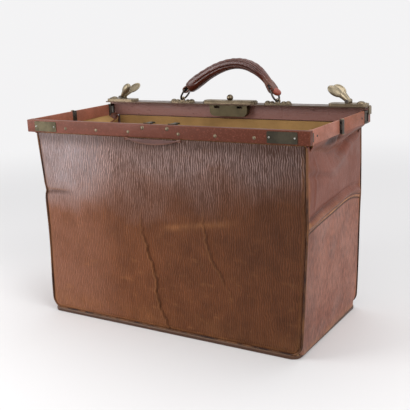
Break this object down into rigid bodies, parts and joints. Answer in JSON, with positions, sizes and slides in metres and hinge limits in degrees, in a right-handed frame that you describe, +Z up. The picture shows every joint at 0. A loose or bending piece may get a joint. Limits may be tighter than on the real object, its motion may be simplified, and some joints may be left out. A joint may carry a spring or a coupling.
{
  "type": "gladstone bag",
  "caption": "Leather travel bag that opens wide on a hinged rectangular frame, with folding side arms, a lock on the rear bar, side latches and a carrying handle.",
  "frame": {"origin": "centre of the base, on the ground", "axes": "+X along the opening to the right as seen from the front, +Y from the front panel to the rear panel, +Z up"},
  "size_m": [0.506, 0.2422, 0.4071],
  "materials": {
    "panel_leather": "worn crimped grain",
    "gusset_leather": "worn smooth",
    "frame_leather": "polished by wear",
    "handle_leather": "polished by wear",
    "piping": "satin",
    "canvas": "woven, matt",
    "brass": "aged, satin",
    "old_brass": "dull, greenish",
    "steel": "dark, dull",
    "wood": "plain",
    "board": "plain"
  },
  "bodies": {
    "shell": {"base_leather": "panel_leather", "base_board": "board", "base_lining": "canvas", "base_piping": "piping", "left_lower_gusset": "gusset_leather", "right_lower_gusset": "gusset_leather", "left_upper_gusset": "gusset_leather", "right_upper_gusset": "gusset_leather", "left_end_lining": "canvas", "right_end_lining": "canvas"},
    "front_side": {"front_panel": "panel_leather", "front_lining": "canvas", "front_piping": "piping", "pull_tab": "frame_leather"},
    "rear_side": {"rear_panel": "panel_leather", "rear_lining": "canvas", "rear_piping": "piping"},
    "rear_frame": {"rear_bar_core": "wood", "rear_bar_cover": "frame_leather", "top_plate": "brass", "left_end_cap": "brass", "right_end_cap": "brass", "left_rear_bracket": "steel", "right_rear_bracket": "steel", "lock_case": "old_brass", "lock_cover": "brass", "left_latch_base": "brass", "right_latch_base": "brass", "left_latch_pin": "steel", "right_latch_pin": "steel", "left_handle_plate": "brass", "right_handle_plate": "brass", "plate_rivets": "brass"},
    "front_frame": {"front_bar_core": "wood", "front_bar_cover": "frame_leather", "left_front_bracket": "steel", "right_front_bracket": "steel", "front_bar_rivets": "steel", "left_wear_plate": "old_brass", "right_wear_plate": "old_brass", "left_staple": "steel", "right_staple": "steel"},
    "right_rear_arm": {"right_rear_arm": "steel", "right_rear_arm_cover": "frame_leather", "right_arm_pin": "brass"},
    "right_front_arm": {"right_front_arm": "steel", "right_front_arm_cover": "frame_leather"},
    "left_rear_arm": {"left_rear_arm": "steel", "left_rear_arm_cover": "frame_leather", "left_arm_pin": "brass"},
    "left_front_arm": {"left_front_arm": "steel", "left_front_arm_cover": "frame_leather"},
    "lock_slider": {"lock_bolt": "steel", "lock_knob": "brass"},
    "left_latch": {"left_latch_lever": "brass"},
    "right_latch": {"right_latch_lever": "brass"},
    "left_ring": {"left_ring": "steel"},
    "right_ring": {"right_ring": "steel"},
    "handle": {"handle_grip": "handle_leather"}
  },
  "joints": [
    {"name": "rear_side_tilt", "type": "hinge", "parent": "shell", "child": "rear_side", "pos_m": [0, 0.1115, 0.0083], "axis": [1, 0, 0], "range_deg": [0, 19.06]},
    {"name": "front_side_tilt", "type": "hinge", "parent": "shell", "child": "front_side", "pos_m": [0, -0.1115, 0.0083], "axis": [-1, 0, 0], "range_deg": [0, 19.06]},
    {"name": "rear_frame_level", "type": "hinge", "parent": "rear_side", "child": "rear_frame", "pos_m": [0, 0.1115, 0.3047], "axis": [-1, 0, 0], "range_deg": [0, 19.06]},
    {"name": "right_rear_fold", "type": "hinge", "parent": "rear_frame", "child": "right_rear_arm", "pos_m": [0.2468, 0.101, 0.317], "axis": [0, 0, -1], "range_deg": [0, 90]},
    {"name": "right_middle_fold", "type": "hinge", "parent": "right_rear_arm", "child": "right_front_arm", "pos_m": [0.2504, 0.00055, 0.317], "axis": [0, 0, 1], "range_deg": [0, 180]},
    {"name": "right_front_fold", "type": "hinge", "parent": "right_front_arm", "child": "front_frame", "pos_m": [0.2468, -0.0999, 0.317], "axis": [0, 0, -1], "range_deg": [0, 90]},
    {"name": "left_rear_fold", "type": "hinge", "parent": "rear_frame", "child": "left_rear_arm", "pos_m": [-0.2468, 0.101, 0.317], "axis": [0, 0, 1], "range_deg": [0, 90]},
    {"name": "left_middle_fold", "type": "hinge", "parent": "left_rear_arm", "child": "left_front_arm", "pos_m": [-0.2504, 0.00055, 0.317], "axis": [0, 0, -1], "range_deg": [0, 180]},
    {"name": "lock_slide", "type": "slide", "parent": "rear_frame", "child": "lock_slider", "axis": [-1, 0, 0], "range_m": [0, 0.006]},
    {"name": "left_latch_swing", "type": "hinge", "parent": "rear_frame", "child": "left_latch", "pos_m": [-0.219, 0.1065, 0.3404], "axis": [0, -1, 0], "range_deg": [-33, 60]},
    {"name": "right_latch_swing", "type": "hinge", "parent": "rear_frame", "child": "right_latch", "pos_m": [0.219, 0.1065, 0.3404], "axis": [0, 1, 0], "range_deg": [-33, 60]},
    {"name": "left_ring_swing", "type": "hinge", "parent": "rear_frame", "child": "left_ring", "pos_m": [-0.0875, 0.1065, 0.3384], "axis": [0, 1, 0], "range_deg": [-12, 12]},
    {"name": "handle_swing", "type": "hinge", "parent": "left_ring", "child": "handle", "pos_m": [-0.07632, 0.1065, 0.35498], "axis": [0, -1, 0], "range_deg": [-13.4, 13.4]},
    {"name": "right_ring_swing", "type": "hinge", "parent": "rear_frame", "child": "right_ring", "pos_m": [0.0975, 0.1065, 0.3384], "axis": [0, 1, 0], "range_deg": [-11, 11]}
  ],
  "couplings": [
    {"joint": "front_side_tilt", "follows": "rear_side_tilt", "ratio": 1},
    {"joint": "rear_frame_level", "follows": "rear_side_tilt", "ratio": 1},
    {"joint": "right_rear_fold", "follows": "rear_side_tilt", "ratio": 4.718},
    {"joint": "right_middle_fold", "follows": "rear_side_tilt", "ratio": 9.436},
    {"joint": "right_front_fold", "follows": "rear_side_tilt", "ratio": 4.718},
    {"joint": "left_rear_fold", "follows": "rear_side_tilt", "ratio": 4.718},
    {"joint": "left_middle_fold", "follows": "rear_side_tilt", "ratio": 9.436},
    {"joint": "handle_swing", "follows": "left_ring_swing", "ratio": 1.114},
    {"joint": "right_ring_swing", "follows": "left_ring_swing", "ratio": 0.915}
  ]
}
